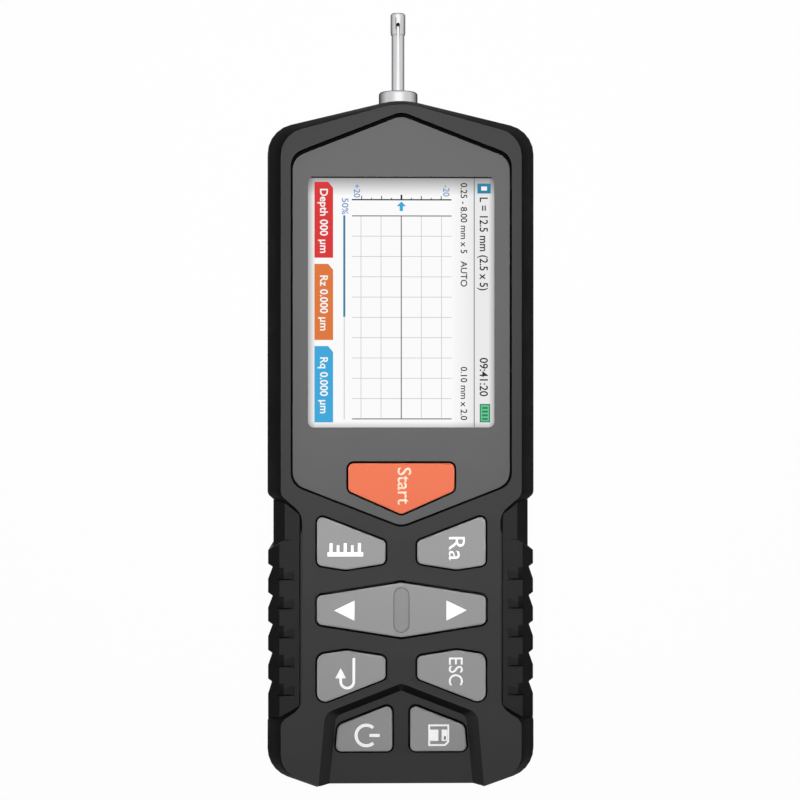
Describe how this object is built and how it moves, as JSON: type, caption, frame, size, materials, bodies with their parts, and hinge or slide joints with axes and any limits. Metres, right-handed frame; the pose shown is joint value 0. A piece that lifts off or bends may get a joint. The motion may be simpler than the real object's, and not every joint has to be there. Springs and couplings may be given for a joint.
{
  "type": "surface roughness tester",
  "caption": "Hand-held surface roughness tester with a colour screen, keypad, ribbed side grips and a stylus pickup that a motor drive pulls into the case.",
  "frame": {"origin": "middle of the flat back, between the case's two ends and its two sides", "axes": "+Z out of the screen, +Y along the case towards the pickup, +X to the right of the screen"},
  "size_m": [0.055, 0.1651, 0.0398],
  "materials": {
    "dark_shell": "fine texture",
    "soft_grip": "matte",
    "grey_panel": "satin",
    "clear_lens": "clear",
    "display": "bright display face",
    "silicone": "matte",
    "board": "solder mask",
    "cell_wrap": "shrink wrap",
    "steel": "ground",
    "polished_steel": "polished",
    "aluminium": "machined",
    "brass": "turned",
    "orange_key": "satin",
    "grey_key": "satin",
    "ruby": "polished",
    "diamond": "polished"
  },
  "bodies": {
    "case": {"front_cover": "dark_shell", "rear_cover": "dark_shell", "left_grip": "soft_grip", "right_grip": "soft_grip", "front_panel": "grey_panel", "screen_lens": "clear_lens", "lcd_module": "display", "keypad_mat": "silicone", "main_board": "board", "battery_pack": "cell_wrap", "usb_socket": "steel", "case_screws": "steel", "drive_frame": "aluminium", "guide_rods": "steel", "drive_motor": "steel", "gearbox": "brass", "nose_bush": "brass"},
    "start_key_body": {"start_key": "orange_key"},
    "length_key_body": {"length_key": "grey_key"},
    "parameter_key_body": {"parameter_key": "grey_key"},
    "enter_key_body": {"enter_key": "grey_key"},
    "escape_key_body": {"escape_key": "grey_key"},
    "power_key_body": {"power_key": "grey_key"},
    "save_key_body": {"save_key": "grey_key"},
    "rocker_key_body": {"rocker_key": "grey_key"},
    "slider": {"carriage": "dark_shell", "slide_bushes": "brass", "drive_nut": "brass", "pickup_socket": "dark_shell", "pickup_body": "polished_steel", "pickup_tube": "polished_steel", "tip_sleeve": "polished_steel", "skid": "ruby"},
    "screw": {"lead_screw": "steel"},
    "stylus": {"stylus_arm": "steel", "stylus_tip": "diamond"}
  },
  "joints": [
    {"name": "start_press", "type": "slide", "parent": "case", "child": "start_key_body", "axis": [0, 0, -1], "range_m": [0, 0.0008], "stiffness_N_per_m": 1200},
    {"name": "length_press", "type": "slide", "parent": "case", "child": "length_key_body", "axis": [0, 0, -1], "range_m": [0, 0.0008], "stiffness_N_per_m": 1200},
    {"name": "parameter_press", "type": "slide", "parent": "case", "child": "parameter_key_body", "axis": [0, 0, -1], "range_m": [0, 0.0008], "stiffness_N_per_m": 1200},
    {"name": "enter_press", "type": "slide", "parent": "case", "child": "enter_key_body", "axis": [0, 0, -1], "range_m": [0, 0.0008], "stiffness_N_per_m": 1200},
    {"name": "escape_press", "type": "slide", "parent": "case", "child": "escape_key_body", "axis": [0, 0, -1], "range_m": [0, 0.0008], "stiffness_N_per_m": 1200},
    {"name": "power_press", "type": "slide", "parent": "case", "child": "power_key_body", "axis": [0, 0, -1], "range_m": [0, 0.0008], "stiffness_N_per_m": 1200},
    {"name": "save_press", "type": "slide", "parent": "case", "child": "save_key_body", "axis": [0, 0, -1], "range_m": [0, 0.0008], "stiffness_N_per_m": 1200},
    {"name": "rocker_tilt", "type": "hinge", "parent": "case", "child": "rocker_key_body", "pos_m": [0, -0.03395, 0.0346], "axis": [0, 1, 0], "range_deg": [-2.4, 2.4], "stiffness_Nm_per_rad": 0.4},
    {"name": "traverse", "type": "slide", "parent": "case", "child": "slider", "axis": [0, -1, 0], "range_m": [0, 0.0175]},
    {"name": "screw_turn", "type": "hinge", "parent": "case", "child": "screw", "pos_m": [0.008, 0.02, 0.0105], "axis": [0, 1, 0], "range_deg": [0, 1576]},
    {"name": "stylus_swing", "type": "hinge", "parent": "slider", "child": "stylus", "pos_m": [0, 0.0722, 0.0044], "axis": [1, 0, 0], "range_deg": [0, 1.2], "stiffness_Nm_per_rad": 0.001, "springref_deg": -4.58}
  ],
  "couplings": [
    {"joint": "screw_turn", "follows": "traverse", "rad_per_m": 1570.8}
  ]
}
